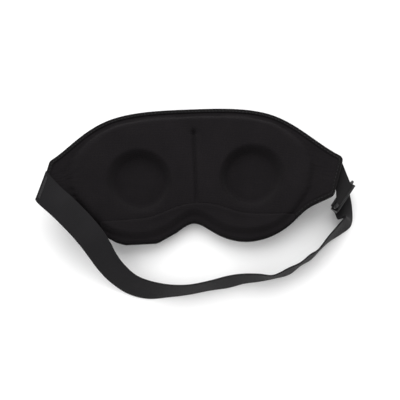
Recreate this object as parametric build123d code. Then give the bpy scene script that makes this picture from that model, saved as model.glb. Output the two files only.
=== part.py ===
from build123d import *
from math import asin, atan2, cos, radians, sin, sqrt
import os

# Contoured sleep eye mask, millimetres. It lies on its outer face, face side up:
# +X towards the wearer's right, +Y towards the forehead, +Z towards the face.

# ---- mask outline, seen square on (half widths from the centre line) ----
MASK_HALF_WIDTH = 111.5     # middle of the outline to a tab's end
FOREHEAD_HEIGHT = 54.0      # upper edge above the eye line, at the centre line
LOBE_DEPTH = 49.5           # lowest point of a cheek lobe below the eye line
NOTCH_DEPTH = 33.5          # top of the nose notch below the eye line
LOBE_X = 42.0               # lowest point of a lobe from the outline's middle
TAB_HALF_HEIGHT = 13.4      # half of a tab's end
TAB_Y = -3.6                # middle of a tab's end, from the eye line
TAB_CORNER_R = 4.0
TAB_LEAN = 8.0              # both tabs' ends lean to the right by this much, bottom to top
TAB_SKEW = 3.3              # the left tab lies this much higher, and the right one lower
OFF_CENTRE = 3.0            # the outline lies this much further left than the cups do
TAB_END = MASK_HALF_WIDTH - OFF_CENTRE      # cups' centre line to the right tab's outermost corner
# Points of the edges between these: share of the half width or of LOBE_X, and a height.
EDGE_BELOW_TOP = [(0.31, 1.6), (0.57, 9.3)]
EDGE_ABOVE_TAB = [(0.77, 19.0), (0.88, 7.6)]
EDGE_BELOW_NOTCH = (0.37, 8.0)
EDGE_ABOVE_LOBE = (1.7, 10.5)
EDGE_BELOW_TAB = [(0.77, 10.5), (0.87, 6.0)]

# ---- wrap and rest pose ----
WRAP_R = 240.0              # the outer surface bends round the head at this radius
CROWN_FLAT_SAG = 0.3        # how far each eye dome's crown is pressed flat by the table

# ---- layers, each measured square to the wrapped surface ----
COVER_T = 0.8
SHELL_T = 4.0
PAD_T = 5.0
LINING_T = 0.6
BINDING_T = 0.6
BINDING_W = 2.8             # how far the binding reaches in from the edge
PAD_INSET = 6.0             # flat rim between the edge and the face pad, round the top and chin
PAD_HALF_WIDTH = 90.0       # centre line to the face pad's side
# Points of the pad's outline, as for the edges; sides are shares of its height each way.
PAD_BELOW_TOP = [(0.38, 1.6), (0.69, 9.3)]
PAD_SIDE_UP = [(0.9, 0.5), (1.0, 0.11)]
PAD_SIDE_DOWN = [(0.96, 0.3), (0.85, 0.62)]
PAD_ABOVE_LOBE = (1.5, 5.0)
PAD_BELOW_NOTCH = (0.42, 3.5)

# ---- eye domes and cups ----
EYE_X = 43.0
EYE_Y = -1.0
DOME_R = 30.0               # radius of a dome where it leaves the shell
DOME_H = 8.0                # how far it stands out
CUP_MOUTH_R = 24.0
CUP_FLOOR_R = 18.0
CUP_DEPTH = 9.0
CREASE_W = 3.0
CREASE_D = 1.8
CREASE_TOP = 36.0
CREASE_BOTTOM = -20.0

# ---- nose flap ----
FLAP_T = 3.0
FLAP_CLEAR = 0.3            # between the flap and the lining or binding under it
FLAP_HALF_WIDTH = 72.0
LIP_HEIGHT = -20.0          # lip's crest, from the eye line
LIP_CHEEK = -31.0           # lip over the cheeks
LIP_HALF_WIDTH = 36.0       # the part that lifts
LIP_ROOT = -33.0            # line that the lip lifts about
LIP_GAP = 0.3
# Points of the lip's curve: share of FLAP_HALF_WIDTH, and mm from the crest or cheek height.
LIP_BELOW_CREST = (0.2, 2.0)
LIP_ABOVE_CHEEK = (0.47, 2.0)
LIP_AT_CHEEK = 0.72
LIP_END_DROP = 1.0

# ---- strap and hardware ----
STRAP_W = 20.0
STRAP_T = 1.0
WEB_W = 18.0                # webbing loop that holds the ring
WEB_T = 1.0
SEW_CLEAR = 0.15            # between sewn layers
WEB_SEWN_L = 11.0           # how far the webbing reaches in under the tab
WEB_DROP = 0.5              # it hangs this much below the binding at the tab's end
TACK_W = 2.4                # bar of close stitches
TACK_T = 0.6
TACK_SET = 1.0              # from the sewn end to the bar
TACK_MARGIN = 1.5           # from the tape's edges to the bar's ends
BAR_R = 1.1                 # ring's round bar
RING_GAP = 4.0              # inside the ring, across its two long bars
FIT_CLEAR = 0.3             # between webbing and the bars it runs on
SIDE_CLEAR = 0.4            # between a strap's edge and the hardware's inner sides
RAIL_W = 1.8                # slider's side rails
RAIL_BACK_H = 2.4           # their height where they carry the centre bar
RAIL_CORNER_R = 0.6
RAIL_EDGE_R = 0.35
SLIDER_H = 9.0
SLIDER_BAR_T = 1.3          # slider's two outer bars
SLIDER_BAR_H = 1.6
SLIDER_BAR_EDGE_R = 0.4
CENTRE_BAR_R = 0.8
BAR_SET = 0.5               # how far the bars run into the rails
SLIDER_PITCH = 7.5          # ring's lower bar to the slider's centre bar
SLIDE_TRAVEL = 5.0
HEM_START = 2.2             # strap's turned end, from the centre bar up
HEM_END = 3.2
HEM_TACK_UP = 1.6           # stitches that close it, from the centre bar up
HEM_TACK_H = 1.0
HANG_OUT = 0.7              # ring's upper bar, out from the right tab's end
HANG_DOWN = 15.8            # and below the tab's middle line
HANG_Z = 26.6
HANG_TURN = 53.13           # the bar's line, turned from straight across the mask
WEB_WRAP = 114.0            # how far round the bar the webbing lies on it, each way

CUT_OVER = 4.0              # how far cutting tools stand out past what they cut
ROOM = 400.0                # size of the blocks that the layers are cut from
SPLINE_STEP = 8.0           # between points of a curve that is drawn again


def wrapped(x, y, t):
    """Point over (x, y) that lies t inside the wrapped outer surface."""
    return Vector(x, y, WRAP_R - sqrt((WRAP_R - t) ** 2 - x ** 2))


def within(t):
    """Everything on the face side of the surface t inside the outer one."""
    return Pos(0, 0, WRAP_R) * Rot(X=90) * Cylinder(WRAP_R - t, ROOM)


def eye_axis(side, t):
    """Plane square to the wrap at an eye's centre, t inside the outer surface."""
    a = asin(EYE_X / WRAP_R) * side
    origin = ((WRAP_R - t) * sin(a), EYE_Y, WRAP_R - (WRAP_R - t) * cos(a))
    return Plane(origin=origin, x_dir=(cos(a), 0, sin(a)), z_dir=(-sin(a), 0, cos(a)))


DOME_SPHERE_R = (DOME_R ** 2 + DOME_H ** 2) / (2 * DOME_H)


def within_domes(t):
    """As within(), with the two eye domes standing out of it."""
    body = within(t)
    for side in (-1, 1):
        body += eye_axis(side, DOME_SPHERE_R - DOME_H) * Sphere(DOME_SPHERE_R - t)
    return body


def prism(face):
    return Pos(0, 0, -ROOM / 4) * extrude(face, ROOM / 2, dir=(0, 0, 1))


def mirrored(points):
    """Left half of a curve from its right half, the point on the centre line once."""
    left = [(-x, y) for x, y in reversed(points) if x > 0]
    return left + points


def grown(face, amount):
    """Outline moved out by amount, its curves drawn again as splines that a STEP file can hold."""
    edges = []
    for edge in offset(face, amount).face().outer_wire().edges():
        if edge.geom_type in (GeomType.LINE, GeomType.CIRCLE):
            edges.append(edge)
        else:
            count = max(3, round(edge.length / SPLINE_STEP))
            points = [edge @ (i / count) for i in range(count + 1)]
            edges.append(Spline(*points, tangents=[edge % 0, edge % 1]))
    return make_face(edges)


def mask_outline():
    wide, top, low, notch = MASK_HALF_WIDTH, FOREHEAD_HEIGHT, -LOBE_DEPTH, -NOTCH_DEPTH
    tab_top, tab_low = TAB_Y + TAB_HALF_HEIGHT, TAB_Y - TAB_HALF_HEIGHT
    upper = [(0, top)]
    upper += [(share * wide, top - drop) for share, drop in EDGE_BELOW_TOP]
    upper += [(share * wide, tab_top + rise) for share, rise in EDGE_ABOVE_TAB]
    lower = [(0, notch), (EDGE_BELOW_NOTCH[0] * LOBE_X, notch - EDGE_BELOW_NOTCH[1]), (LOBE_X, low)]
    lower += [(EDGE_ABOVE_LOBE[0] * LOBE_X, low + EDGE_ABOVE_LOBE[1])]
    lower += [(share * wide, tab_low - drop) for share, drop in EDGE_BELOW_TAB]
    left_top = (-wide + TAB_LEAN, tab_top + TAB_SKEW)
    left_low = (-wide, tab_low + TAB_SKEW)
    right_top = (wide, tab_top - TAB_SKEW)
    right_low = (wide - TAB_LEAN, tab_low - TAB_SKEW)
    upper_edge = Spline(left_top, *mirrored(upper), right_top)
    lower_edge = Spline(left_low, *mirrored(lower), right_low)
    face = make_face([upper_edge, lower_edge, Line(left_top, left_low), Line(right_top, right_low)])
    corners = [v for v in face.vertices() if abs(v.X) > wide - TAB_LEAN - TAB_CORNER_R / 2]
    return Pos(-OFF_CENTRE, 0) * fillet(corners, TAB_CORNER_R)


def pad_outline():
    wide = PAD_HALF_WIDTH
    top = FOREHEAD_HEIGHT - PAD_INSET
    low = LOBE_DEPTH - PAD_INSET
    right = [(0, top)]
    right += [(share * wide, top - drop) for share, drop in PAD_BELOW_TOP]
    right += [(share * wide, up * top) for share, up in PAD_SIDE_UP]
    right += [(share * wide, -down * low) for share, down in PAD_SIDE_DOWN]
    right += [(PAD_ABOVE_LOBE[0] * LOBE_X, -low + PAD_ABOVE_LOBE[1]), (LOBE_X, -low)]
    right += [(PAD_BELOW_NOTCH[0] * LOBE_X, -NOTCH_DEPTH - PAD_BELOW_NOTCH[1])]
    right += [(0, -NOTCH_DEPTH + PAD_INSET)]
    left = [(-x, y) for x, y in reversed(right[1:-1])]
    return Pos(-OFF_CENTRE, 0) * make_face(Spline(*right, *left, periodic=True))


def cup(side, grow):
    """Cup hollow, with grow of lining cut away behind its wall and floor."""
    floor = COVER_T + SHELL_T + PAD_T + LINING_T - CUP_DEPTH
    slope = (CUP_MOUTH_R - CUP_FLOOR_R) / CUP_DEPTH
    depth = CUP_DEPTH + grow + CUT_OVER
    tool = Cone(CUP_FLOOR_R + grow, CUP_FLOOR_R + grow + slope * depth, depth,
                align=(Align.CENTER, Align.CENTER, Align.MIN))
    return eye_axis(side, floor - grow) * tool


def crease(grow):
    """Groove between the two cups, down the middle of the face side."""
    length = CREASE_TOP - CREASE_BOTTOM
    top = COVER_T + SHELL_T + PAD_T + LINING_T
    slot = SlotOverall(length + 2 * grow, CREASE_W + 2 * grow, rotation=90)
    at = Pos(0, (CREASE_TOP + CREASE_BOTTOM) / 2, top - CREASE_D - grow)
    return at * extrude(slot, CREASE_D + grow + CUT_OVER)


def hollows(grow):
    return cup(-1, grow) + cup(1, grow) + crease(grow)


RIM_T = COVER_T + SHELL_T
FACE_T = RIM_T + PAD_T + LINING_T
OUTLINE = mask_outline()
PAD = pad_outline()


def layer(face, t_out, t_in, domed=False):
    """A sheet of the given outline between two surfaces of the wrap."""
    outer = within_domes(t_out) if domed else within(t_out)
    inner = within_domes(t_in) if domed else within(t_in)
    return (prism(face) & outer) - inner


def outer_cover():
    return layer(OUTLINE, 0, COVER_T, domed=True)


def shell_foam():
    return layer(OUTLINE, COVER_T, RIM_T, domed=True)


def pad_blank():
    return (prism(PAD) & within_domes(RIM_T)) - within(RIM_T + PAD_T)


def face_pad():
    return pad_blank() - hollows(LINING_T)


def face_lining():
    """Skin over the pad's top, sides and hollows and over the flat rim and tabs."""
    rim = layer(OUTLINE, RIM_T, RIM_T + LINING_T)
    over_pad = layer(grown(PAD, LINING_T), RIM_T, FACE_T)
    lined = (hollows(LINING_T) & within(RIM_T)) - within(FACE_T)
    deep = hollows(LINING_T) - within(RIM_T)
    return (rim + over_pad + lined + deep) - (pad_blank() - hollows(LINING_T)) - hollows(0)


def rim_binding():
    """Tape folded over the edge of the cover, foam and lining."""
    band = grown(OUTLINE, BINDING_T) - grown(OUTLINE, -BINDING_W)
    stack = layer(OUTLINE, 0, RIM_T + LINING_T)
    return layer(band, -BINDING_T, RIM_T + LINING_T + BINDING_T) - stack


def flap_outline():
    """Between the lip's curve and the lower edge of the mask."""
    wide = FLAP_HALF_WIDTH
    end = LIP_CHEEK - LIP_END_DROP
    right = [(0, LIP_HEIGHT), (LIP_BELOW_CREST[0] * wide, LIP_HEIGHT - LIP_BELOW_CREST[1]),
             (LIP_ABOVE_CHEEK[0] * wide, LIP_CHEEK + LIP_ABOVE_CHEEK[1]),
             (LIP_AT_CHEEK * wide, LIP_CHEEK), (wide, end)]
    lip = Spline(*mirrored(right))
    below = [(wide, end), (wide, -2 * LOBE_DEPTH), (-wide, -2 * LOBE_DEPTH), (-wide, end)]
    return make_face([lip, Polyline(*below)]) & grown(OUTLINE, -BINDING_T)


def nose_flap():
    """Whole flap: a pad over the lining that comes down onto the binding at the chin edge."""
    under = FACE_T + FLAP_CLEAR
    sheet = layer(flap_outline(), RIM_T + LINING_T + BINDING_T + FLAP_CLEAR, under + FLAP_T)
    return sheet - (prism(grown(PAD, LINING_T + FLAP_CLEAR)) - within(under))


def above_root(gap):
    """Everything over the lip's root line and between its sides, with a gap round it."""
    wide = 2 * (LIP_HALF_WIDTH + gap)
    block = Box(wide, ROOM / 2, ROOM, align=(Align.CENTER, Align.MIN, Align.CENTER))
    return Pos(0, LIP_ROOT - gap, 0) * block


def nose_flap_lip():
    """The part over the pad, which lifts. What comes down over the pad's edge stays behind."""
    return nose_flap() & above_root(0) & prism(PAD)


def nose_flap_base():
    return nose_flap() - (above_root(LIP_GAP) & prism(grown(PAD, LIP_GAP)))


# Lowest point of an eye dome below the outer surface's lowest line, with the crown pressed flat.
DOME_CENTRE = eye_axis(1, DOME_SPHERE_R - DOME_H).origin
REST_H = DOME_SPHERE_R - DOME_CENTRE.Z - CROWN_FLAT_SAG


def rest(body):
    """Lift a piece of the mask so that its pressed crowns lie on the table."""
    return Pos(0, 0, REST_H) * body


def on_table(body):
    return body & Pos(0, 0, ROOM / 2) * Box(2 * ROOM, 2 * ROOM, ROOM)


# ---- strap: lower edge, and the way its width runs from there ----
# A spread other than 1 is a slanted end or a gathered corner.
STRAP_ROUTE = [
    ((-116.6, -16.0, 42.4), (0.33, 0.93, -0.17), 1.14),
    ((-114.0, -19.5, 41.3), (0.69, 0.64, -0.33), 1.05),
    ((-104.4, -28.9, 36.0), (0.73, 0.68, -0.06), 1.0),
    ((-94.0, -40.2, 32.0), (0.74, 0.67, 0.04), 1.0),
    ((-85.8, -50.5, 29.0), (0.77, 0.62, 0.15), 1.0),
    ((-80.6, -58.3, 22.5), (0.79, 0.53, 0.30), 1.0),
    ((-74.8, -66.9, 14.5), (0.68, 0.57, 0.46), 1.0),
    ((-66.8, -75.6, 7.5), (0.51, 0.64, 0.57), 1.0),
    ((-54.7, -84.1, 2.0), (0.32, 0.64, 0.69), 1.0),
    ((-39.9, -88.4, 0.5), (0.10, 0.60, 0.79), 1.0),
    ((-24.1, -87.9, 0.3), (0.04, 0.39, 0.92), 1.0),
    ((-8.9, -86.7, 0.3), (0.01, 0.29, 0.96), 1.0),
    ((6.3, -84.4, 0.3), (-0.01, 0.28, 0.96), 1.0),
    ((21.5, -82.8, 0.3), (-0.02, 0.36, 0.93), 1.0),
    ((33.0, -80.3, 0.3), (-0.04, 0.28, 0.96), 1.0),
    ((44.4, -79.3, 0.2), (-0.06, 0.20, 0.98), 1.0),
    ((55.8, -77.6, 0.2), (-0.09, 0.05, 1.00), 1.0),
    ((67.4, -75.0, 0.2), (-0.09, 0.16, 0.98), 1.0),
    ((76.9, -68.6, 0.2), (-0.12, 0.02, 0.99), 1.0),
    ((84.8, -64.4, 0.2), (-0.12, 0.10, 0.99), 1.0),
    ((91.3, -58.3, 0.2), (-0.14, -0.03, 0.99), 1.0),
    ((99.4, -51.4, 0.2), (-0.14, 0.09, 0.99), 1.0),
    ((108.4, -46.3, 0.2), (-0.12, 0.34, 0.93), 0.95),
    ((117.0, -39.7, 0.3), (-0.35, 0.31, 0.88), 0.86),
    ((118.6, -27.5, 1.0), (-0.66, -0.42, 0.55), 0.95),
]


def ribbon(edges, thickness):
    """Flat tape through pairs of edge points, of even thickness."""
    mids = [(a + b) / 2 for a, b in edges]
    sections = []
    for i, (a, b) in enumerate(edges):
        ahead = mids[min(i + 1, len(mids) - 1)] - mids[max(i - 1, 0)]
        half = ahead.cross(b - a).normalized() * (thickness / 2)
        sections.append(Wire.make_polygon([a + half, b + half, b - half, a - half]))
    return Solid.make_loft(sections, ruled=True)


HANG = Plane(origin=(TAB_END + HANG_OUT, TAB_Y - HANG_DOWN, HANG_Z),
             x_dir=(-cos(radians(HANG_TURN)), -sin(radians(HANG_TURN)), 0), z_dir=(0, 0, 1))
LOOP_R = BAR_R + FIT_CLEAR + STRAP_T / 2        # strap's middle round a bar of the ring
RING_PITCH = RING_GAP + 2 * BAR_R
SLIDER_Z = -RING_PITCH - SLIDER_PITCH
RUN_END_Z = SLIDER_Z - SLIDER_H / 2 - SLIDE_TRAVEL - 2 * FIT_CLEAR
HEM_R = CENTRE_BAR_R + FIT_CLEAR + STRAP_T / 2
CENTRE_BAR_Y = LOOP_R - STRAP_T - FIT_CLEAR - HEM_R
ARC_STEPS = 8


def hung(profile, width):
    """Edge pairs of a tape across the hanging hardware, from (y, z) points of its path."""
    return [(HANG.from_local_coords(Vector(-width / 2, y, z)),
             HANG.from_local_coords(Vector(width / 2, y, z))) for y, z in profile]


def arc(y, z, radius, start, end):
    turns = [radians(start + (end - start) * i / ARC_STEPS) for i in range(ARC_STEPS + 1)]
    return [(y + radius * cos(a), z + radius * sin(a)) for a in turns]


def strap_edges():
    edges = []
    for low, way, spread in STRAP_ROUTE:
        low = Vector(*low)
        edges.append((low, low + Vector(*way).normalized() * STRAP_W * spread))
    return edges


def strap():
    """Head strap, from the seam on the left tab to just short of the slider's travel."""
    return ribbon(strap_edges(), STRAP_T)


def strap_tack():
    """Close zigzag of thread that sews the strap's end down, a little proud of the strap."""
    (low, top), (next_low, next_top) = strap_edges()[:2]
    along = (next_low - low + next_top - top).normalized()
    across = (top - low).normalized()
    lift = along.cross(across).normalized() * (STRAP_T / 2 + SEW_CLEAR + TACK_T / 2)
    start = (low + top) / 2 + along * TACK_SET + lift
    half = across * (STRAP_W / 2 - TACK_MARGIN)
    return ribbon([(start - half, start + half),
                   (start + along * TACK_W - half, start + along * TACK_W + half)], TACK_T)


def strap_end_loop():
    """The strap's end: up through the slider, over the ring's lower bar and down again."""
    turn = arc(0, -RING_PITCH, LOOP_R, 0, 180)
    hem_start = SLIDER_Z + HEM_START + FIT_CLEAR
    profile = [(LOOP_R, RUN_END_Z), *turn, (CENTRE_BAR_Y - HEM_R, hem_start)]
    return ribbon(hung(profile, STRAP_W), STRAP_T)


def strap_hem():
    """Last of the strap, turned round the slider's centre bar and sewn to itself."""
    turn = arc(CENTRE_BAR_Y, SLIDER_Z, HEM_R, 180, 360)
    start = (CENTRE_BAR_Y - HEM_R, SLIDER_Z + HEM_START)
    end = (CENTRE_BAR_Y + HEM_R, SLIDER_Z + HEM_END)
    return ribbon(hung([start, *turn, end], STRAP_W), STRAP_T)


def hem_tack():
    """Stitches between the turned end and the strap it is sewn to."""
    block = Box(STRAP_W - 2 * TACK_MARGIN, 2 * HEM_R - STRAP_T, HEM_TACK_H)
    return HANG.location * Pos(0, CENTRE_BAR_Y, SLIDER_Z + HEM_TACK_UP) * block


def ring():
    inner = STRAP_W + 2 * SIDE_CLEAR
    path = RectangleRounded(inner + 2 * BAR_R, RING_PITCH, 2 * BAR_R).wire()
    section = Plane(origin=path @ 0, z_dir=path % 0) * Circle(BAR_R)
    upright = Pos(0, 0, -RING_PITCH / 2) * Rot(X=90)
    return HANG.location * upright * sweep(section, path=path)


def slider():
    """Slider in one moulding: two outer bars, a set-back centre bar and two side rails."""
    inner = STRAP_W + 2 * SIDE_CLEAR
    bar_in = LOOP_R + STRAP_T / 2 + FIT_CLEAR
    bar_out = bar_in + SLIDER_BAR_T
    back = CENTRE_BAR_Y - CENTRE_BAR_R
    half = SLIDER_H / 2
    narrow = RAIL_BACK_H / 2
    side = [(bar_out, half), (bar_out, -half), (bar_in, -half),
            (back, -narrow), (back, narrow), (bar_in, half)]
    cheek = make_face(Polyline(*side, close=True))
    cheek = fillet(cheek.vertices(), RAIL_CORNER_R)
    rails = []
    for s in (-1, 1):
        at = Plane(origin=(s * inner / 2, 0, 0), x_dir=(0, 1, 0), z_dir=(s, 0, 0))
        face = cheek if s > 0 else mirror(cheek, about=Plane.XZ)
        rails.append(fillet(extrude(at * face, RAIL_W).edges(), RAIL_EDGE_R))
    span = inner + 2 * BAR_SET
    bars = []
    for s in (-1, 1):
        bar = Box(span, SLIDER_BAR_T, SLIDER_BAR_H)
        bar = fillet(bar.edges().filter_by(Axis.X), SLIDER_BAR_EDGE_R)
        bars.append(Pos(0, (bar_in + bar_out) / 2, s * (half - SLIDER_BAR_H / 2)) * bar)
    centre = Pos(0, CENTRE_BAR_Y, 0) * Rot(Y=90) * Cylinder(CENTRE_BAR_R, span)
    whole = rails[0] + rails[1] + bars[0] + bars[1] + centre
    return HANG.location * Pos(0, 0, SLIDER_Z) * whole


def under_tab(reach, up, t):
    """Point under the right tab: reach in from its end, up along the end, t outside the cover."""
    tilt = atan2(TAB_LEAN, 2 * TAB_HALF_HEIGHT)
    end_x = TAB_END - TAB_LEAN * (TAB_HALF_HEIGHT - TAB_SKEW) / (2 * TAB_HALF_HEIGHT)
    x = end_x - reach * cos(tilt) + up * sin(tilt)
    y = TAB_Y + reach * sin(tilt) + up * cos(tilt)
    return wrapped(x, y, -t) + Vector(0, 0, REST_H)


WEB_FIRST = BINDING_T + SEW_CLEAR + WEB_DROP + WEB_T / 2        # middle of the upper layer
WEB_SECOND = WEB_FIRST + WEB_T + SEW_CLEAR


def ring_loop():
    """Webbing sewn under the right tab, out round the ring's upper bar and back."""
    turn = arc(0, 0, BAR_R + FIT_CLEAR + WEB_T / 2, WEB_WRAP, -WEB_WRAP)
    half = WEB_W / 2
    reaches = (WEB_SEWN_L, WEB_SEWN_L / 2, -BINDING_T)
    out = [(under_tab(r, half, WEB_FIRST), under_tab(r, -half, WEB_FIRST)) for r in reaches]
    back = [(under_tab(r, half, WEB_SECOND), under_tab(r, -half, WEB_SECOND)) for r in reaches[::-1]]
    return ribbon(out + hung(turn, WEB_W) + back, WEB_T)


def loop_tack():
    """Thread that sews both layers of the webbing to the tab, on the side away from the face."""
    depth = WEB_SECOND + WEB_T / 2 + SEW_CLEAR + TACK_T / 2
    half = WEB_W / 2 - TACK_MARGIN
    reach = WEB_SEWN_L - TACK_SET
    edges = [(under_tab(r, half, depth), under_tab(r, -half, depth)) for r in (reach, reach - TACK_W)]
    return ribbon(edges, TACK_T)


def main():
    parts = {
        "outer_cover": on_table(rest(outer_cover())),
        "shell_foam": rest(shell_foam()),
        "face_pad": rest(face_pad()),
        "face_lining": rest(face_lining()),
        "rim_binding": rest(rim_binding()),
        "nose_flap_base": rest(nose_flap_base()),
        "nose_flap_lip": rest(nose_flap_lip()),
        "strap": on_table(strap()),
        "strap_tack": strap_tack(),
        "strap_end_loop": strap_end_loop(),
        "strap_hem": strap_hem(),
        "hem_tack": hem_tack(),
        "ring": ring(),
        "slider": slider(),
        "ring_loop": ring_loop(),
        "loop_tack": loop_tack(),
    }
    box = parts["strap"].bounding_box()
    for body in parts.values():
        box = box.add(body.bounding_box())
    centre = box.center()
    shift = Pos(-centre.X, -centre.Y, -box.min.Z)
    os.makedirs("parts", exist_ok=True)
    for name, body in parts.items():
        solids = [shift * solid for solid in body.solids()]
        export_step(solids[0] if len(solids) == 1 else Compound(solids), f"parts/{name}.step")
    print("size", box.size, "moved by", shift.position)


main()
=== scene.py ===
from math import atan2, cos, exp, hypot, pi, radians, sin, sqrt

import bmesh
import bpy
import numpy as np
from mathutils import Matrix, Vector


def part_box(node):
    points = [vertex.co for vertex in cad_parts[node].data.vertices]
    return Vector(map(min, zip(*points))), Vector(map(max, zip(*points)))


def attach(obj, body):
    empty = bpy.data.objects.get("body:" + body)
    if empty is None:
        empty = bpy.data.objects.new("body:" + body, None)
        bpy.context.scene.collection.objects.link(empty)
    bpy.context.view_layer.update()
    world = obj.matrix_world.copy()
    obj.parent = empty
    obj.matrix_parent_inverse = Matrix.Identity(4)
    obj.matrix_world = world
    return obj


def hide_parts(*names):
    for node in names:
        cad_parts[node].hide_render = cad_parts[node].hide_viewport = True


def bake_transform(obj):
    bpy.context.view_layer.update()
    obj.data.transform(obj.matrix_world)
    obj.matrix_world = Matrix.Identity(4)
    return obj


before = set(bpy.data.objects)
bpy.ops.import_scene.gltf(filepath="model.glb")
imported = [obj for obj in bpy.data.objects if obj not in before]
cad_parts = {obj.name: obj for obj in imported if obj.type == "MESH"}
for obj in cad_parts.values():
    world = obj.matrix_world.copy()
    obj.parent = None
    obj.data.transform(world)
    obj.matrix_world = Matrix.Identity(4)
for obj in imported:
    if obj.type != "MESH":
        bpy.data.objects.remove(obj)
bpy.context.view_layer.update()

# ---------------------------------------------------------------------------
# The view: from the wearer's side, high over the chin edge, with the nose
# notch at the bottom. A long lens, so the mask keeps its real proportions.
EYE = Vector((-0.0107, -0.1043, 0.6974))
LOOKED_AT = Vector((0.0011, 0.0008, 0.0080))
LEVEL = Vector((0.9990, -0.0440, 0.0015))       # the way across the picture

camera = bpy.data.objects.new("camera", bpy.data.cameras.new("camera"))
camera.data.lens = 82.7
camera.data.sensor_width = 36.0
back = (EYE - LOOKED_AT).normalized()
across = (LEVEL - back * LEVEL.dot(back)).normalized()
turned = Matrix((across, back.cross(across), back)).transposed()
camera.location = EYE
camera.rotation_euler = turned.to_euler()
bpy.context.scene.collection.objects.link(camera)
bpy.context.scene.camera = camera
bpy.context.scene.view_settings.view_transform = "Standard"

# ---------------------------------------------------------------------------
# The studio: a pale table, one wide soft box over the forehead edge, a weaker
# one from the left and an even white surround, so shadows are faint and soft.
def srgb(hex_colour):
    """Linear colour of an sRGB hex value such as #8a8a8a."""
    parts = [int(hex_colour[i:i + 2], 16) / 255 for i in (1, 3, 5)]
    return [p / 12.92 if p <= 0.04045 else ((p + 0.055) / 1.055) ** 2.4 for p in parts] + [1.0]


def material(name):
    made = bpy.data.materials.new(name)
    made.use_nodes = True
    made.node_tree.nodes.clear()
    return made


def add(into, kind, inputs, **settings):
    """Adds a shader node; an input is a value, or another node's output to link."""
    made = into.node_tree.nodes.new("ShaderNode" + kind)
    for name, value in settings.items():
        setattr(made, name, value)
    for name, value in inputs.items():
        if isinstance(value, bpy.types.NodeSocket):
            into.node_tree.links.new(value, made.inputs[name])
        else:
            made.inputs[name].default_value = value
    return made


def piece(name, mesh, finish):
    """A smooth-shaded object of a bmesh, in its place, with its material."""
    data = bpy.data.meshes.new(name)
    mesh.to_mesh(data)
    mesh.free()
    data.materials.append(finish)
    data.shade_smooth()
    made = bpy.data.objects.new(name, data)
    bpy.context.scene.collection.objects.link(made)
    return made


TABLE_SIZE = 3.0
SOFT_BOX = 1.1
paper = material("matt white paper")
shade = add(paper, "TexNoise", {"Scale": 40.0, "Detail": 3.0})
mottle = add(paper, "Mix", {"Factor": shade.outputs["Fac"], "A": srgb("#fafafa"),
                            "B": srgb("#fdfdfd")}, data_type="RGBA")
sheet = add(paper, "BsdfPrincipled", {"Base Color": mottle.outputs[2], "Roughness": 0.9,
                                      "Specular IOR Level": 0.1})
add(paper, "OutputMaterial", {"Surface": sheet.outputs[0]})

bm = bmesh.new()
bmesh.ops.create_grid(bm, x_segments=2, y_segments=2, size=TABLE_SIZE / 2)
table = piece("table", bm, paper)

world = bpy.data.worlds.new("studio")
bpy.context.scene.world = world
world.use_nodes = True
world.node_tree.nodes["Background"].inputs["Color"].default_value = srgb("#ffffff")
world.node_tree.nodes["Background"].inputs["Strength"].default_value = 0.75

for name, place, energy in (("soft box", (0.05, 0.75, 0.95), 12.0),
                            ("left fill", (-0.9, -0.1, 0.9), 4.0)):
    lamp = bpy.data.objects.new(name, bpy.data.lights.new(name, "AREA"))
    lamp.data.size = SOFT_BOX
    lamp.data.energy = energy
    lamp.location = place
    lamp.rotation_mode = "QUATERNION"
    lamp.rotation_quaternion = Vector(place).to_track_quat("Z", "Y")
    bpy.context.scene.collection.objects.link(lamp)

# ---------------------------------------------------------------------------
# Cover shell: the outside of the mask, a moulded foam sheet with black knit
# laminated to it. It bends round the head and stands out in a dome over each
# eye; the mask lies on the two crowns.
WRAP_R = 0.240              # outer surface's bend
RIM = 0.0054                # cover, foam and lining together at the rim
SHELL = 0.0048              # cover and its foam
FOREHEAD = 0.054            # eye line to the upper edge
OFF_CENTRE = 0.003          # the outline lies this much further left than the cups do
DOME_R, DOME_H = 0.030, 0.008
DOME_SPHERE = (DOME_R ** 2 + DOME_H ** 2) / (2 * DOME_H)
EYE_X, EYE_Y = 0.043, -0.001
DOME_SOFT = 0.0035          # how far the dome's foot is rounded out
ROLL_W = 0.0014             # the rim's edge is rolled to a half round this wide

cover_low, cover_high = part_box("outer_cover")
CENTRE = Vector(((cover_low.x + cover_high.x) / 2 + OFF_CENTRE, cover_high.y - FOREHEAD, 0))
BINDING = 0.0006            # thickness of the binding tape
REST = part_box("rim_binding")[0].z + BINDING


def walls(node, kept=lambda x, y: True):
    """Plan of a node's upright side walls, as points in order round the eye line's middle."""
    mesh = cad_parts[node].data
    found = set()
    for face in mesh.polygons:
        if abs(face.normal.z) < 0.02:
            for i in face.vertices:
                x, y = (mesh.vertices[i].co - CENTRE).xy
                if kept(x, y):
                    found.add((round(x, 5), round(y, 5)))
    return np.array(sorted(found, key=lambda p: np.arctan2(p[1], p[0])))


def evenly(loop, count):
    """The same closed outline with evenly spaced points."""
    closed = np.vstack([loop, loop[:1]])
    run = np.concatenate([[0], np.cumsum(np.linalg.norm(np.diff(closed, axis=0), axis=1))])
    at = np.linspace(0, run[-1], count, endpoint=False)
    return np.stack([np.interp(at, run, closed[:, k]) for k in (0, 1)], axis=1), run[-1]


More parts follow.
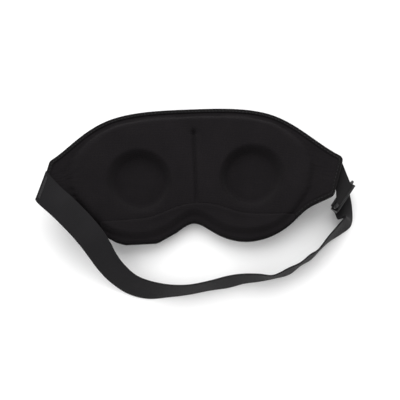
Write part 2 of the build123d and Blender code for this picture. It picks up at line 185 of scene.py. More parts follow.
def inside(loop, x, y):
    """Distance in from an outline to a point, negative outside it."""
    a, b = loop, np.roll(loop, -1, axis=0)
    way = b - a
    share = np.clip(((x - a[:, 0]) * way[:, 0] + (y - a[:, 1]) * way[:, 1])
                    / np.maximum((way ** 2).sum(1), 1e-12), 0, 1)
    near = np.hypot(a[:, 0] + share * way[:, 0] - x, a[:, 1] + share * way[:, 1] - y).min()
    level = (a[:, 1] > y) != (b[:, 1] > y)
    rise = np.where(level, way[:, 1], 1.0)
    crossed = level & (x < a[:, 0] + way[:, 0] * (y - a[:, 1]) / rise)
    return near if crossed.sum() % 2 else -near


def corner(loop, right, up):
    """Which point of an outline lies furthest out towards a corner."""
    return int(np.argmax(loop @ np.array((right, up))))


EDGE = walls("outer_cover")         # whole outline, then its chin and forehead edges
LOWER = EDGE[corner(EDGE, -1, -1):corner(EDGE, 1, -1) + 1]
UPPER = EDGE[corner(EDGE, 1, 1):corner(EDGE, -1, 1) + 1][::-1]


def edge_low(x):
    """Where the chin edge lies, at a distance across the mask."""
    return np.interp(x, LOWER[:, 0], LOWER[:, 1])


def in_from_edge(x, y):
    return inside(EDGE, x, y)


def across_mask(u, v):
    """Plan of a point of the mask: u runs from tab to tab, v from chin edge to forehead."""
    x_low = LOWER[0, 0] + u * (LOWER[-1, 0] - LOWER[0, 0])
    x_top = UPPER[0, 0] + u * (UPPER[-1, 0] - UPPER[0, 0])
    y_top = np.interp(x_top, UPPER[:, 0], UPPER[:, 1])
    return x_low + v * (x_top - x_low), edge_low(x_low) + v * (y_top - edge_low(x_low))


def smooth(share):
    """A share from 0 to 1, eased at both ends and held beyond them."""
    share = min(max(share, 0.0), 1.0)
    return share * share * (3 - 2 * share)


def wrap(x, depth):
    """Height over the table at a depth inside the wrapped outer surface."""
    return WRAP_R - sqrt((WRAP_R - depth) ** 2 - x * x) + REST


def domed(x, y, depth):
    """As wrap(), with the two domes standing out of it and their feet rounded."""
    flat = wrap(x, depth)
    ball = DOME_SPHERE - depth
    reach = (WRAP_R - DOME_SPHERE + DOME_H) / WRAP_R
    middle_x = EYE_X * reach
    middle_z = WRAP_R - (WRAP_R - DOME_SPHERE + DOME_H) * sqrt(1 - (EYE_X / WRAP_R) ** 2) + REST
    across = (abs(x) - middle_x) ** 2 + (y - EYE_Y) ** 2
    if across >= ball * ball:
        return flat
    dome = middle_z - sqrt(ball * ball - across)
    mix = max(DOME_SOFT - abs(flat - dome), 0) / DOME_SOFT
    return min(flat, dome) - mix * mix * DOME_SOFT / 4


def rolled(edge):
    """Half the rim's thickness, this far in from its edge."""
    out = min(max(1 - edge / ROLL_W, 0), 1)
    return RIM / 2 * sqrt(1 - out * out)


CROWDED = 0.45              # how much closer the mesh's columns are at the crease


def slab(low, high, columns, rows):
    """Closed body over the mask's outline, between the surfaces low(x, y) and high(x, y)."""
    made = bmesh.new()
    bmesh.ops.create_grid(made, x_segments=columns, y_segments=rows, size=1.0)
    bottom = list(made.verts)
    raised = bmesh.ops.extrude_face_region(made, geom=made.faces[:])["geom"]
    top = {v for v in raised if isinstance(v, bmesh.types.BMVert)}
    for v in bottom + list(top):
        across = v.co.x * (1 - CROWDED) + v.co.x ** 3 * CROWDED
        x, y = across_mask((across + 1) / 2, (v.co.y + 1) / 2)
        height = high(x, y) if v in top else low(x, y)
        v.co = CENTRE + Vector((x, y, height))
    bmesh.ops.recalc_face_normals(made, faces=made.faces[:])
    return made


def finished(made):
    """Puts a piece's modifiers into its mesh."""
    graph = bpy.context.evaluated_depsgraph_get()
    made.data = bpy.data.meshes.new_from_object(made.evaluated_get(graph))
    made.modifiers.clear()
    made.data.shade_smooth()


def subdivided(made, levels=1):
    """Rounds a piece's mesh by subdividing it."""
    smoother = made.modifiers.new("subdivision", "SUBSURF")
    smoother.levels = smoother.render_levels = levels
    finished(made)


SWELL_FRAMES = 20
PRESSURE = 4.0
FACE_UP, FACE_UP_FADE = 0.2, 0.4       # only what faces up swells, by its normal's height


def puffed(made, free, most):
    """Swells a padded piece with a short cloth simulation: free(x, y) is how loose a place is,
    the rest is held, and nothing moves further than most."""
    start = np.array([v.co for v in made.data.vertices])
    held = made.vertex_groups.new(name="held")
    for v in made.data.vertices:
        up = smooth((v.normal.z - FACE_UP) / FACE_UP_FADE)
        held.add([v.index], 1 - up * free(v.co.x - CENTRE.x, v.co.y - CENTRE.y), "REPLACE")
    cloth = made.modifiers.new("swelling", "CLOTH")
    cloth.settings.vertex_group_mass = "held"
    cloth.settings.use_pressure = True
    cloth.settings.uniform_pressure_force = PRESSURE
    cloth.settings.effector_weights.gravity = 0
    for number in range(1, SWELL_FRAMES + 1):
        bpy.context.scene.frame_set(number)
    finished(made)
    end = np.array([v.co for v in made.data.vertices])
    move = end - start
    length = np.linalg.norm(move, axis=1, keepdims=True)
    kept = start + move * np.minimum(1, most / np.maximum(length, 1e-9))
    made.data.vertices.foreach_set("co", kept.ravel())
    made.vertex_groups.clear()
    bpy.context.scene.frame_set(1)


WAVE = 0.1 * pi             # a wave texture's scale for bands a metre apart
NAP, WEAR = 900.0, 45.0     # noise scales: brushed fibre about 1 mm across, wear about 22 mm


def knit(name, dark, light, loop, sheen):
    """Weft knit with a brushed back: rows of small loops that catch a soft sheen. The loops are
    about 0.4 mm in the real cloth, and are drawn at about 1 mm so that they show."""
    made = material(name)
    place = add(made, "TexCoord", {}).outputs["Object"]
    wale = add(made, "TexWave", {"Vector": place, "Scale": WAVE / loop, "Distortion": 4.0,
                                 "Detail": 3.0, "Detail Scale": 2.0}, bands_direction="X")
    course = add(made, "TexWave", {"Vector": place, "Scale": WAVE / (1.25 * loop),
                                   "Distortion": 4.0, "Detail": 3.0, "Detail Scale": 2.0},
                 bands_direction="Y")
    loops = add(made, "Math", {0: wale.outputs["Fac"], 1: course.outputs["Fac"]},
                operation="MULTIPLY")
    nap = add(made, "TexNoise", {"Vector": place, "Scale": NAP, "Detail": 4.0,
                                 "Roughness": 0.7})
    wear = add(made, "TexNoise", {"Vector": place, "Scale": WEAR, "Detail": 5.0,
                                  "Roughness": 0.6})
    height = add(made, "Math", {0: loops.outputs[0], 1: nap.outputs["Fac"]}, operation="ADD")
    tone = add(made, "Math", {0: height.outputs[0], 1: wear.outputs["Fac"]}, operation="MULTIPLY")
    colour = add(made, "Mix", {"Factor": tone.outputs[0], "A": srgb(dark), "B": srgb(light)},
                 data_type="RGBA")
    bump = add(made, "Bump", {"Height": height.outputs[0], "Strength": 0.35, "Distance": 0.0003})
    cloth = add(made, "BsdfPrincipled", {
        "Base Color": colour.outputs[2], "Roughness": 0.9, "Specular IOR Level": 0.12,
        "Sheen Weight": sheen, "Sheen Roughness": 0.5, "Sheen Tint": srgb("#d4ced0"),
        "Normal": bump.outputs[0]})
    add(made, "OutputMaterial", {"Surface": cloth.outputs[0]})
    return made


COLUMNS, ROWS = 140, 64
LINING_LEFT = 0.0003        # least that is left above the foam at the rim


def cover_bottom(x, y):
    edge = in_from_edge(x, y)
    return max(domed(x, y, RIM / 2 - rolled(edge)), 0.0)


def shell_top(x, y):
    """The foam's inner face, where the face pad lies on it."""
    edge = in_from_edge(x, y)
    return domed(x, y, min(SHELL, RIM / 2 + rolled(edge) - LINING_LEFT))


cover_knit = knit("brushed polyester knit, outside", "#0b090b", "#191618", 0.0010, 0.03)
cover = piece("cover_shell", slab(cover_bottom, shell_top, COLUMNS, ROWS), cover_knit)
subdivided(cover)
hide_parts("outer_cover", "shell_foam")
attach(cover, "mask")

# ---------------------------------------------------------------------------
# Face pad: softer foam under a stretched knit lining. It is moulded with a
# round cup for each eye and a crease between them, and its edge steps down to
# a flat rim that runs out over the tabs.
PAD = 0.0050                # foam and lining above the rim
CUP_MOUTH, CUP_FLOOR, CUP_DEPTH = 0.0245, 0.0175, 0.0090
CUP_X = 0.042
CREASE_TOP, CREASE_FOOT = 0.035, -0.020
CREASE_WIDE, CREASE_DEEP = 0.0012, 0.0026
CREASE_BAND = 0.003         # half width of what belongs to the crease, and past its ends
TOP_FADE, FOOT_PAST, FOOT_FADE = 0.004, 0.002, 0.008
DIMPLE_DEEP, DIMPLE_WIDE, DIMPLE_TALL = 0.0020, 0.0028, 0.0024
SHOULDER, SIDE_SHOULDER = 0.0032, 0.0085
SIDE_FROM, SIDE_FADE = 0.055, 0.030    # where the shoulder starts to widen, and over how much
TAPE_W = 0.0028             # how far the binding reaches in
TAB_ROOT, GATHER_REACH = 0.092, 0.010
GATHER, GATHER_COUNT = 0.0005, 17
GATHER_DRIFT = 2.1          # how uneven the pleats' spacing is
GATHER_FADE = 0.003
SEAM_DEEP, SEAM_IN, SEAM_W = 0.0006, 0.0002, 0.0005     # the lining dips beside the binding
LOOSE_FROM, LOOSE_FADE = 0.002, 0.006
PAD_SWELL = 0.0012


def off_the_crease(x, y):
    return (abs(x) > CREASE_BAND or y > CREASE_TOP + CREASE_BAND
            or y < CREASE_FOOT - CREASE_BAND)


PAD_EDGE = walls("face_pad", off_the_crease)


def in_from_pad(x, y):
    return inside(PAD_EDGE, x, y)


def pad_rise(x, y):
    """Share of the pad's full height, with a rounded shoulder that is wider at the sides."""
    side = smooth((abs(x) - SIDE_FROM) / SIDE_FADE)
    width = SHOULDER + side * (SIDE_SHOULDER - SHOULDER)
    out = min(max(1 - in_from_pad(x, y) / width, 0), 1)
    return sqrt(1 - out * out)


def cup_fall(x, y):
    """How far an eye cup sinks below the pad's face."""
    far = hypot(abs(x) - CUP_X, y - EYE_Y)
    return CUP_DEPTH * (1 - smooth((far - CUP_FLOOR) / (CUP_MOUTH - CUP_FLOOR)))


def crease_fall(x, y):
    """Groove that is pinched deepest at its top, where it ends in a dimple."""
    top = smooth((CREASE_TOP + CREASE_BAND - y) / TOP_FADE)
    along = top * smooth((y - CREASE_FOOT + FOOT_PAST) / FOOT_FADE)
    groove = CREASE_DEEP * along * exp(-(x / CREASE_WIDE) ** 2)
    dimple = DIMPLE_DEEP * exp(-((x / DIMPLE_WIDE) ** 2 + ((y - CREASE_TOP) / DIMPLE_TALL) ** 2))
    return groove + dimple


def gathers(x, y):
    """Small pleats that fan out from each tab, where its layers are pulled together."""
    root = TAB_ROOT if x > 0 else -TAB_ROOT - 2 * OFF_CENTRE
    turn = atan2(y - EYE_Y, abs(root - x) + GATHER_REACH / 2)
    near = exp(-((x - root) / GATHER_REACH) ** 2)
    drift = GATHER_DRIFT * sin(3 * turn + x)
    return GATHER * near * (0.5 + 0.5 * sin(GATHER_COUNT * turn + drift))


def face_top(x, y):
    """The lining's face: the rim, the pad on it, and what sinks into them."""
    edge = in_from_edge(x, y)
    seam = SEAM_DEEP * exp(-((edge - TAPE_W - SEAM_IN) / SEAM_W) ** 2)
    pleat = gathers(x, y) * smooth((edge - TAPE_W) / GATHER_FADE)
    depth = RIM / 2 + rolled(edge) + PAD * pad_rise(x, y) - seam - pleat
    return wrap(x, depth - cup_fall(x, y) - crease_fall(x, y))


def loose_on_face(x, y):
    """The pad's top is free to swell; its edge, cups and crease are moulded and stay."""
    far = hypot(abs(x) - CUP_X, y - EYE_Y)
    off_cups = smooth((far - CUP_MOUTH + LOOSE_FROM) / LOOSE_FADE)
    off_crease = smooth((abs(x) - LOOSE_FROM) / LOOSE_FADE)
    return off_cups * off_crease * smooth((in_from_pad(x, y) - LOOSE_FROM) / LOOSE_FADE)


lining_knit = knit("brushed polyester knit, lining", "#0c0a0c", "#1a1719", 0.0010, 0.035)
face = piece("face_pad_lined", slab(shell_top, face_top, COLUMNS, ROWS), lining_knit)
puffed(face, loose_on_face, PAD_SWELL)
subdivided(face)
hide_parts("face_pad", "face_lining")
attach(face, "mask")

# ---------------------------------------------------------------------------
# Rim binding: knit tape, 0.6 mm thick, folded over the edge of all the layers
# and run through with one line of lockstitch that pulls it in between stitches.
STATION = 0.0008
STITCH_PITCH, STITCH_L, STITCH_R = 0.0026, 0.0018, 0.00016
STITCH_IN = 0.0019
ROUND_STEPS = 10
PULL, PULL_W = 0.00022, 0.0006         # how far a stitch pulls the tape down, and how wide
FLANGE_END = 0.0002         # the tape's cut ends are rounded over this much
FLANGE_STEP = 0.0007
THREAD_PLY = 260.0          # wave scale: the ply shows as bands 1.2 mm apart, coarser than real


def tape_section():
    """Closed C section as (in from the edge, depth) pairs, outer skin first."""
    turns = [pi / 2 - pi * i / ROUND_STEPS for i in range(ROUND_STEPS + 1)]
    outer = [(ROLL_W - (ROLL_W + BINDING) * cos(a), (RIM / 2 + BINDING) * sin(a)) for a in turns]
    inner = [(ROLL_W - ROLL_W * cos(a), RIM / 2 * sin(a)) for a in reversed(turns)]
    flange = [TAPE_W - FLANGE_STEP, TAPE_W - FLANGE_END]
    top = [(d, RIM / 2 + BINDING) for d in reversed(flange)]
    low = [(d, -RIM / 2 - BINDING) for d in flange]
    ends = [(TAPE_W, -RIM / 2 - BINDING / 2), (TAPE_W - FLANGE_END, -RIM / 2)]
    back = [(TAPE_W - FLANGE_END, RIM / 2), (TAPE_W, RIM / 2 + BINDING / 2)]
    return [(d, RIM / 2 + t) for d, t in top + outer + low + ends + inner + back]


def edge_frame(loop, i):
    """A point of an outline and the direction in from it."""
    along = loop[(i + 1) % len(loop)] - loop[i - 1]
    along = along / np.linalg.norm(along)
    return loop[i], np.array((-along[1], along[0]))


def over_edge(spot, inward, distance, depth):
    """A point this far in from the edge, at a depth inside the wrapped outer surface."""
    x, y = spot + inward * distance
    return CENTRE + Vector((x, y, wrap(x, depth)))


def stitch(into, a, b, radius):
    """One stitch of thread: a slender rounded body from a to b."""
    turn = (b - a).to_track_quat("Z", "Y").to_matrix().to_4x4()
    size = Matrix.Diagonal((radius, radius, (b - a).length / 2, 1))
    bmesh.ops.create_uvsphere(into, u_segments=6, v_segments=5, radius=1.0,
                              matrix=Matrix.Translation((a + b) / 2) @ turn @ size)


tape_knit = knit("knit binding tape", "#0a090a", "#171516", 0.0009, 0.03)
thread = material("bonded polyester thread")
ply = add(thread, "TexWave", {"Vector": add(thread, "TexCoord", {}).outputs["Object"],
                              "Scale": THREAD_PLY, "Distortion": 2.0},
          bands_direction="DIAGONAL")
strand = add(thread, "Mix", {"Factor": ply.outputs["Fac"], "A": srgb("#0c0b0d"),
                             "B": srgb("#201e21")}, data_type="RGBA")
twist = add(thread, "Bump", {"Height": ply.outputs["Fac"], "Strength": 0.5, "Distance": 0.0001})
filament = add(thread, "BsdfPrincipled", {"Base Color": strand.outputs[2], "Roughness": 0.6,
                                          "Normal": twist.outputs[0]})
add(thread, "OutputMaterial", {"Surface": filament.outputs[0]})

_, around = evenly(EDGE, 8)
edge_points, _ = evenly(EDGE, round(around / STATION))
stitches = round(around / STITCH_PITCH)
bm = bmesh.new()
section = tape_section()
loops = []
for i in range(len(edge_points)):
    spot, inward = edge_frame(edge_points, i)
    pulled = PULL * (0.5 + 0.5 * cos(2 * pi * stitches * i / len(edge_points)))
    ring_verts = []
    for distance, depth in section:
        near = exp(-((distance - STITCH_IN) / PULL_W) ** 2)
        sign = 1 if depth > RIM / 2 else -1
        ring_verts.append(bm.verts.new(over_edge(spot, inward, distance,
                                                 depth - sign * pulled * near)))
    loops.append([bm.edges.new((ring_verts[k - 1], ring_verts[k])) for k in range(len(section))])
for i in range(len(loops)):
    bmesh.ops.bridge_loops(bm, edges=loops[i - 1] + loops[i])
bmesh.ops.recalc_face_normals(bm, faces=bm.faces[:])
binding = piece("rim_binding_tape", bm, tape_knit)
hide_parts("rim_binding")
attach(binding, "mask")

bm = bmesh.new()
stitch_points, _ = evenly(EDGE, stitches)
for i in range(stitches):
    spot, inward = edge_frame(stitch_points, i)
    along = np.array((inward[1], -inward[0])) * STITCH_L / 2
    for depth in (RIM + BINDING, -BINDING):
        a, b = (over_edge(spot + s * along, inward, STITCH_IN, depth) for s in (-1, 1))
        stitch(bm, a, b, STITCH_R)
binding_stitches = piece("binding_stitches", bm, thread)
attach(binding_stitches, "mask")

# ---------------------------------------------------------------------------
# Nose flap: a thin padded flap of the lining knit, sewn in at the chin edge.
# Its rounded lip arches over the bridge of the nose and lifts to meet it.
FLAP_T = 0.0030
FLAP_CLEAR = 0.0003
FLAP_HALF_W = 0.072
LIP = [(0.0, -0.0200), (0.0144, -0.0220), (0.0338, -0.0290), (0.0518, -0.0310),
       (0.0720, -0.0320)]
FLAP_COLUMNS, FLAP_ROWS = 150, 22
LIP_ROUND = 0.0016
LIP_LIFT, LIP_FREE = 0.0010, 0.050     # its edge curls up this much, out to this far
LIP_LIFT_W, LIP_FREE_FADE = 0.006, 0.020
FLAP_END, FLAP_END_FADE = 0.35, 0.016  # share of its thickness left at its ends
SHOULDER_UNDER, SHOULDER_SHARE = 0.0055, 0.35          # it bridges the pad's shoulder
FLAP_SWELL = 0.0010
FLAP_LOOSE_LIP, FLAP_HELD, FLAP_LOOSE_CHIN = 0.003, 0.002, 0.004


def curve_through(points, count):
    """Evenly numbered points on a smooth curve through the given ones."""
    points = [np.array(p, float) for p in points]
    points = [2 * points[0] - points[1], *points, 2 * points[-1] - points[-2]]
    made = []
    for i in range(count):
        at = i * (len(points) - 3) / (count - 1)
        k = min(int(at), len(points) - 4)
        s = at - k
        a, b, c, d = points[k:k + 4]
        made.append(0.5 * (2 * b + (c - a) * s + (2 * a - 5 * b + 4 * c - d) * s ** 2
                           + (3 * b - a - 3 * c + d) * s ** 3))
    return made


lip_line = np.array(curve_through([(-x, y) for x, y in LIP[:0:-1]] + LIP, 81))


def flap_place(across, down):
    """Plan of a point of the flap, from the lip (down 0) to the chin edge (down 1)."""
    x = across * FLAP_HALF_W
    top = np.interp(x, lip_line[:, 0], lip_line[:, 1])
    low = edge_low(x) + BINDING
    return x, top + down * (low - top)


def under_flap(x, y):
    """Depth of what the flap lies on: the pad, its shoulder and the binding."""
    fall = 1 - smooth(in_from_pad(x, y) / SHOULDER_UNDER + SHOULDER_SHARE)
    return RIM + BINDING + FLAP_CLEAR + (PAD - BINDING) * (1 - fall)


def flap_share(x):
    """Share of the flap's full thickness, which falls off towards its two ends."""
    return FLAP_END + (1 - FLAP_END) * smooth((FLAP_HALF_W - abs(x)) / FLAP_END_FADE)


bm = bmesh.new()
bmesh.ops.create_grid(bm, x_segments=FLAP_COLUMNS, y_segments=FLAP_ROWS, size=1.0)
lower = list(bm.verts)
raised = bmesh.ops.extrude_face_region(bm, geom=bm.faces[:])["geom"]
upper = {v for v in raised if isinstance(v, bmesh.types.BMVert)}
for v in lower + list(upper):
    across, down = v.co.x, (1 - v.co.y) / 2
    x, y = flap_place(across, down)
    _, lip_y = flap_place(across, 0)
    _, chin_y = flap_place(across, 1)
    rim_gap = min(lip_y - y, y - chin_y, FLAP_HALF_W - abs(x))
    out = min(max(1 - rim_gap / LIP_ROUND, 0), 1)
    half = FLAP_T / 2 * sqrt(1 - out * out) * flap_share(x)
    middle = under_flap(x, y) + FLAP_T / 2 * flap_share(x)
    curl = LIP_LIFT * smooth(1 - (lip_y - y) / LIP_LIFT_W)
    middle += curl * smooth((LIP_FREE - abs(x)) / LIP_FREE_FADE)
    v.co = CENTRE + Vector((x, y, wrap(x, middle + (half if v in upper else -half))))
bmesh.ops.recalc_face_normals(bm, faces=bm.faces[:])
flap = piece("nose_flap", bm, lining_knit)


def loose_on_flap(x, y):
    """The flap's top is free to swell; its lip is bound and its chin edge is sewn in."""
    lip = smooth((np.interp(x, lip_line[:, 0], lip_line[:, 1]) - y) / FLAP_LOOSE_LIP)
    return lip * smooth((y - edge_low(x) - FLAP_HELD) / FLAP_LOOSE_CHIN)


puffed(flap, loose_on_flap, FLAP_SWELL)
subdivided(flap)
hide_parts("nose_flap_base", "nose_flap_lip")
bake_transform(flap)

# ---------------------------------------------------------------------------
# Head strap: 20 mm black elastic, 1 mm thick, sewn on the left tab's face. It
# lies back over the left lobe, drops to the table and stands on its edge all
# the way round to the buckle, where it turns up through the slider.
STRAP_W, STRAP_T = 0.020, 0.0010
STRAP_ROUTE = [             # lower edge, the way its width runs, spread of the width
    ((-0.1166, -0.0160, 0.0424), (0.33, 0.93, -0.17), 1.14),
    ((-0.1140, -0.0195, 0.0413), (0.69, 0.64, -0.33), 1.05),
    ((-0.1044, -0.0289, 0.0360), (0.73, 0.68, -0.06), 1.0),
    ((-0.0940, -0.0402, 0.0320), (0.74, 0.67, 0.04), 1.0),
    ((-0.0858, -0.0505, 0.0290), (0.77, 0.62, 0.15), 1.0),
    ((-0.0806, -0.0583, 0.0225), (0.79, 0.53, 0.30), 1.0),
    ((-0.0748, -0.0669, 0.0145), (0.68, 0.57, 0.46), 1.0),
    ((-0.0668, -0.0756, 0.0075), (0.51, 0.64, 0.57), 1.0),
    ((-0.0547, -0.0841, 0.0020), (0.32, 0.64, 0.69), 1.0),
    ((-0.0399, -0.0884, 0.0005), (0.10, 0.60, 0.79), 1.0),
    ((-0.0241, -0.0879, 0.0003), (0.04, 0.39, 0.92), 1.0),
    ((-0.0089, -0.0867, 0.0003), (0.01, 0.29, 0.96), 1.0),
    ((0.0063, -0.0844, 0.0003), (-0.01, 0.28, 0.96), 1.0),
    ((0.0215, -0.0828, 0.0003), (-0.02, 0.36, 0.93), 1.0),
    ((0.0330, -0.0803, 0.0003), (-0.04, 0.28, 0.96), 1.0),
    ((0.0444, -0.0793, 0.0002), (-0.06, 0.20, 0.98), 1.0),
    ((0.0558, -0.0776, 0.0002), (-0.09, 0.05, 1.00), 1.0),
    ((0.0674, -0.0750, 0.0002), (-0.09, 0.16, 0.98), 1.0),
    ((0.0769, -0.0686, 0.0002), (-0.12, 0.02, 0.99), 1.0),
    ((0.0848, -0.0644, 0.0002), (-0.12, 0.10, 0.99), 1.0),
    ((0.0913, -0.0583, 0.0002), (-0.14, -0.03, 0.99), 1.0),
    ((0.0994, -0.0514, 0.0002), (-0.14, 0.09, 0.99), 1.0),
    ((0.1084, -0.0463, 0.0002), (-0.12, 0.34, 0.93), 0.95),
    ((0.1170, -0.0397, 0.0003), (-0.35, 0.31, 0.88), 0.86),
    ((0.1186, -0.0275, 0.0010), (-0.66, -0.42, 0.55), 0.95),
]
BAR_R = 0.0011              # ring's bar
FIT = 0.0003
LOOP_R = BAR_R + FIT + STRAP_T / 2
RING_PITCH = 0.0062
SLIDER_PITCH, SLIDER_HALF = 0.0075, 0.0045     # ring's lower bar to centre bar; half its length
SLIDE_TRAVEL = 0.005
CENTRE_BAR_R = 0.0008
HEM_START, HEM_END = 0.0022, 0.0032    # the turned end's two ends, from the centre bar up
SLIDER_Z = -RING_PITCH - SLIDER_PITCH
RUN_END_Z = SLIDER_Z - SLIDER_HALF - SLIDE_TRAVEL - 2 * FIT
HEM_R = CENTRE_BAR_R + FIT + STRAP_T / 2
HEM_Y = LOOP_R - STRAP_T - FIT - HEM_R
HEM_TOP = SLIDER_Z + HEM_START
HANG = Vector((0.1092, -0.0194, 0.0266))        # middle of the ring's upper bar
HANG_TURN = radians(53.13)
ALONG_BAR = Vector((-cos(HANG_TURN), -sin(HANG_TURN), 0))
OUT_OF_BAR = Vector((sin(HANG_TURN), -cos(HANG_TURN), 0))
ACROSS = 10                 # mesh steps over a tape's width
ROUNDED = 0.3               # share of a tape's thickness that its edges are rounded by
CUPPED = 0.0003
RUN_IN, RUN_SHORT = 0.0006, 0.001      # the run up comes in to the ring by this, and stops short
LOOP_PAST = 0.0005          # the fold over the ring's bar runs down past its middle
STRAP_STATIONS = 260


def hung(profile, width):
    """Edge pairs of a tape across the hanging hardware, from (out, up) points of its path."""
    middles = [HANG + OUT_OF_BAR * out + Vector((0, 0, up)) for out, up in profile]
    return [(m - ALONG_BAR * width / 2, m + ALONG_BAR * width / 2) for m in middles]


def turn_round(out, up, radius, start, end, steps=12):
    """Arc of (out, up) points about a bar, from one angle to another in degrees."""
    angles = [radians(start + (end - start) * i / steps) for i in range(steps + 1)]
    return [(out + radius * cos(a), up + radius * sin(a)) for a in angles]


def tape(name, edges, thickness, finish, cupped=0.0):
    """Flat tape through pairs of edge points, with its length and width as its UV map in
    metres. cupped is how far its middle stands off the line between its edges."""
    edges = [(Vector(a), Vector(b)) for a, b in edges]
    middles = [(a + b) / 2 for a, b in edges]
    runs = [0.0]
    for k in range(1, len(middles)):
        runs.append(runs[-1] + (middles[k] - middles[k - 1]).length)
    made = bmesh.new()
    uv = made.loops.layers.uv.new("UVMap")
    bmesh.ops.create_grid(made, x_segments=len(edges) - 1, y_segments=ACROSS, size=0.5)
    last = len(edges) - 1
    for v in made.verts:
        k, share = round((v.co.x + 0.5) * last), v.co.y + 0.5
        for loop in v.link_loops:
            loop[uv].uv = (runs[k], share * (edges[k][1] - edges[k][0]).length)
        a, b = edges[k]
        ahead = middles[min(k + 1, last)] - middles[max(k - 1, 0)]
        off = ahead.cross(b - a).normalized() * cupped * (1 - (2 * share - 1) ** 2)
        v.co = CENTRE + a.lerp(b, share) + off
    tape_piece = piece(name, made, finish)
    thick = tape_piece.modifiers.new("thickness", "SOLIDIFY")
    thick.thickness = thickness
    thick.offset = 0
    edge_round = tape_piece.modifiers.new("rounded edges", "BEVEL")
    edge_round.width = thickness * ROUNDED
    edge_round.segments = 2
    edge_round.limit_method = "ANGLE"
    finished(tape_piece)
    return tape_piece, runs[-1]


def smoothed(edges, count):
    """The same tape with more stations, on smooth curves through its edge points."""
    lows = curve_through([a for a, b in edges], count)
    tops = curve_through([b for a, b in edges], count)
    return [(Vector(a), Vector(b)) for a, b in zip(lows, tops)]


YARN_FUZZ, YARN_FADE = 1400.0, 60.0    # noise scales: fuzz about 0.7 mm across, fading 17 mm


def elastic(name, dark, light, rib):
    """Woven elastic: rubber cords wrapped in yarn run along it as fine ribs, and the weft shows
    as short ticks across them. The real ribs are 0.9 mm apart, and are drawn at 1.0 mm."""
    made = material(name)
    place = add(made, "UVMap", {}, uv_map="UVMap").outputs["UV"]
    ribs = add(made, "TexWave", {"Vector": place, "Scale": WAVE / rib}, bands_direction="Y")
    ticks = add(made, "TexWave", {"Vector": place, "Scale": WAVE / (0.8 * rib),
                                  "Distortion": 2.0}, bands_direction="X")
    fuzz = add(made, "TexNoise", {"Vector": place, "Scale": YARN_FUZZ, "Detail": 4.0})
    fade = add(made, "TexNoise", {"Vector": place, "Scale": YARN_FADE, "Detail": 4.0})
    weave = add(made, "Math", {0: ticks.outputs["Fac"], 1: ribs.outputs["Fac"]},
                operation="MULTIPLY")
    height = add(made, "Math", {0: weave.outputs[0], 1: fuzz.outputs["Fac"]}, operation="ADD")
    tone = add(made, "Math", {0: height.outputs[0], 1: fade.outputs["Fac"]},
               operation="MULTIPLY")
    colour = add(made, "Mix", {"Factor": tone.outputs[0], "A": srgb(dark), "B": srgb(light)},
                 data_type="RGBA")
    bump = add(made, "Bump", {"Height": height.outputs[0], "Strength": 0.5, "Distance": 0.0003})
    yarn = add(made, "BsdfPrincipled", {
        "Base Color": colour.outputs[2], "Roughness": 0.8, "Specular IOR Level": 0.25,
        "Sheen Weight": 0.06, "Sheen Roughness": 0.35, "Sheen Tint": srgb("#d9d2d6"),
        "Normal": bump.outputs[0]})
    add(made, "OutputMaterial", {"Surface": yarn.outputs[0]})
    return made


route_edges = []
for low, way, spread in STRAP_ROUTE:
    route_edges.append((Vector(low), Vector(low) + Vector(way).normalized() * STRAP_W * spread))
up_run = hung([(LOOP_R + RUN_IN, RUN_END_Z - 2 * FIT), (LOOP_R, RUN_END_Z),
               (LOOP_R, SLIDER_Z), (LOOP_R, -RING_PITCH - RUN_SHORT)], STRAP_W)
over_bar = hung([*turn_round(0, -RING_PITCH, LOOP_R, 0, 180),
                 (-LOOP_R, -RING_PITCH - LOOP_PAST)], STRAP_W)
black_elastic = elastic("woven black elastic", "#0b0a0c", "#181619", 0.0010)
strap_edges = smoothed(route_edges + up_run, STRAP_STATIONS) + over_bar
strap, strap_length = tape("strap_elastic", strap_edges, STRAP_T, black_elastic, cupped=CUPPED)
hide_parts("strap", "strap_end_loop")
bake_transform(strap)

# The strap's end comes back down from the ring, round the slider's middle bar, and is sewn to
# itself there with close stitches.
hem_path = [(-LOOP_R, -RING_PITCH - LOOP_PAST), (HEM_Y - HEM_R, HEM_TOP + FIT),
            *turn_round(HEM_Y, SLIDER_Z, HEM_R, 180, 360), (HEM_Y + HEM_R, SLIDER_Z + HEM_END)]
hem, hem_length = tape("strap_hem_elastic", hung(hem_path, STRAP_W), STRAP_T, black_elastic)
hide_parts("strap_hem")
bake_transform(hem)

# ---------------------------------------------------------------------------
# Hardware: a ring and a three-bar slider, each moulded in black acetal with a
# fine satin finish from the tool and a faint flow of gloss along the edges.
GRAIN, FLOW = 2200.0, 120.0            # noise scales: tool grain about 0.5 mm, flow about 8 mm
acetal = material("moulded acetal, satin")
place = add(acetal, "TexCoord", {}).outputs["Object"]
grain = add(acetal, "TexNoise", {"Vector": place, "Scale": GRAIN, "Detail": 3.0})
flow = add(acetal, "TexNoise", {"Vector": place, "Scale": FLOW, "Detail": 2.0})
gloss = add(acetal, "MapRange", {"Value": flow.outputs["Fac"], "To Min": 0.30, "To Max": 0.46})
tint = add(acetal, "Mix", {"Factor": flow.outputs["Fac"], "A": srgb("#0f0f10"),
                           "B": srgb("#1c1b1d")}, data_type="RGBA")
spark = add(acetal, "Bump", {"Height": grain.outputs["Fac"], "Strength": 0.12,
                             "Distance": 0.00005})
moulded = add(acetal, "BsdfPrincipled", {"Base Color": tint.outputs[2], "IOR": 1.48,
                                         "Roughness": gloss.outputs[0],
                                         "Normal": spark.outputs[0]})
add(acetal, "OutputMaterial", {"Surface": moulded.outputs[0]})
for node in ("ring", "slider"):
    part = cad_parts[node]
    part.data.materials.clear()
    part.data.materials.append(acetal)

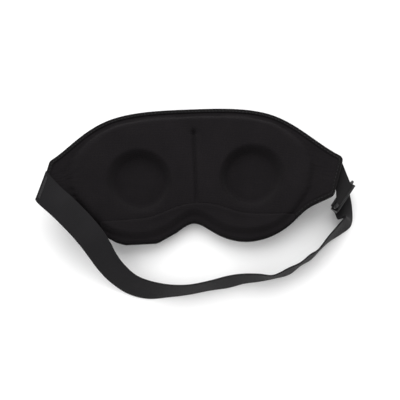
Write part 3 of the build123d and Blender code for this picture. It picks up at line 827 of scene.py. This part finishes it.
# ---------------------------------------------------------------------------
# Webbing loop: 18 mm woven tape sewn under the right tab. It holds the ring's
# upper bar in its fold.
WEB_W, WEB_T = 0.018, 0.0010
WEB_SEWN = 0.011
WEB_WRAP = 114              # degrees round the bar, each way
WEB_DROP, SEW_CLEAR = 0.0005, 0.00015
TAB_Y, TAB_HALF = -0.0036, 0.0134       # middle and half height of the tab's end
TAB_END, TAB_LEAN, TAB_SKEW = 0.1085, 0.0080, 0.0033
TILT = atan2(TAB_LEAN, 2 * TAB_HALF)


def under_tab(reach, up, drop):
    """Point under the right tab: reach in from its end, up along the end, drop below the cover."""
    end_x = TAB_END - TAB_LEAN * (TAB_HALF - TAB_SKEW) / (2 * TAB_HALF)
    x = end_x - reach * cos(TILT) + up * sin(TILT)
    y = TAB_Y + reach * sin(TILT) + up * cos(TILT)
    return Vector((x, y, wrap(x, -drop)))


first = BINDING + SEW_CLEAR + WEB_DROP + WEB_T / 2
second = first + WEB_T + SEW_CLEAR
reaches = (WEB_SEWN, WEB_SEWN / 2, -BINDING)
outward, homeward = ([(under_tab(r, WEB_W / 2, drop), under_tab(r, -WEB_W / 2, drop))
                      for r in reaches] for drop in (first, second))
homeward.reverse()
fold = hung(turn_round(0, 0, BAR_R + FIT + WEB_T / 2, WEB_WRAP, -WEB_WRAP), WEB_W)
black_webbing = elastic("woven polyester webbing", "#0a090a", "#161416", 0.0010)
loop_piece, web_length = tape("ring_webbing", outward + fold + homeward, WEB_T, black_webbing)
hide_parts("ring_loop")
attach(loop_piece, "mask")

# ---------------------------------------------------------------------------
# Bar tacks: close zigzags of thread where each tape is sewn down.
TACK_W, TACK_STEPS = 0.0024, 26
TACK_MARGIN, HEM_MARGIN = 0.0015, 0.002        # from the tape's edges to a tack's ends
TACK_SET = 0.001            # from a tape's sewn end to its tack
HEM_TACK = (0.0012, 0.0022)            # the hem's tack, from the centre bar up
TACK_R = 0.00022


def bar_tack(name, corners, node, body):
    """Zigzag between two rails, each a pair of points across the tape."""
    (a, b), (c, d) = corners
    made = bmesh.new()
    for i in range(TACK_STEPS):
        near, far = a.lerp(b, i / TACK_STEPS), c.lerp(d, (i + 0.5) / TACK_STEPS)
        stitch(made, near, far, TACK_R)
        stitch(made, far, a.lerp(b, (i + 1) / TACK_STEPS), TACK_R)
    tack = piece(name, made, thread)
    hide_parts(node)
    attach(tack, body)


start_a, start_b = route_edges[0]
along = (route_edges[1][0] - start_a + route_edges[1][1] - start_b).normalized()
across = (start_b - start_a).normalized()
lift = along.cross(across).normalized() * (STRAP_T / 2 + SEW_CLEAR + TACK_R / 2)
middle = (start_a + start_b) / 2 + along * TACK_SET + lift + CENTRE
half = across * (STRAP_W / 2 - TACK_MARGIN)
bar_tack("strap_bar_tack", [(middle - half, middle + half),
                            (middle - half + along * TACK_W, middle + half + along * TACK_W)],
         "strap_tack", "mask")

tack_depth = second + WEB_T / 2 + SEW_CLEAR + TACK_R / 2
web_half = WEB_W / 2 - TACK_MARGIN
rails = [(CENTRE + under_tab(r, web_half, tack_depth),
          CENTRE + under_tab(r, -web_half, tack_depth))
         for r in (WEB_SEWN - TACK_SET, WEB_SEWN - TACK_SET - TACK_W)]
bar_tack("loop_bar_tack", rails, "loop_tack", "mask")

hem_rails = []
reach = ALONG_BAR * (STRAP_W / 2 - HEM_MARGIN)
for up in HEM_TACK:
    at = CENTRE + HANG + OUT_OF_BAR * HEM_Y + Vector((0, 0, SLIDER_Z + up))
    hem_rails.append((at - reach, at + reach))
bar_tack("hem_bar_tack", hem_rails, "hem_tack", "adjuster")
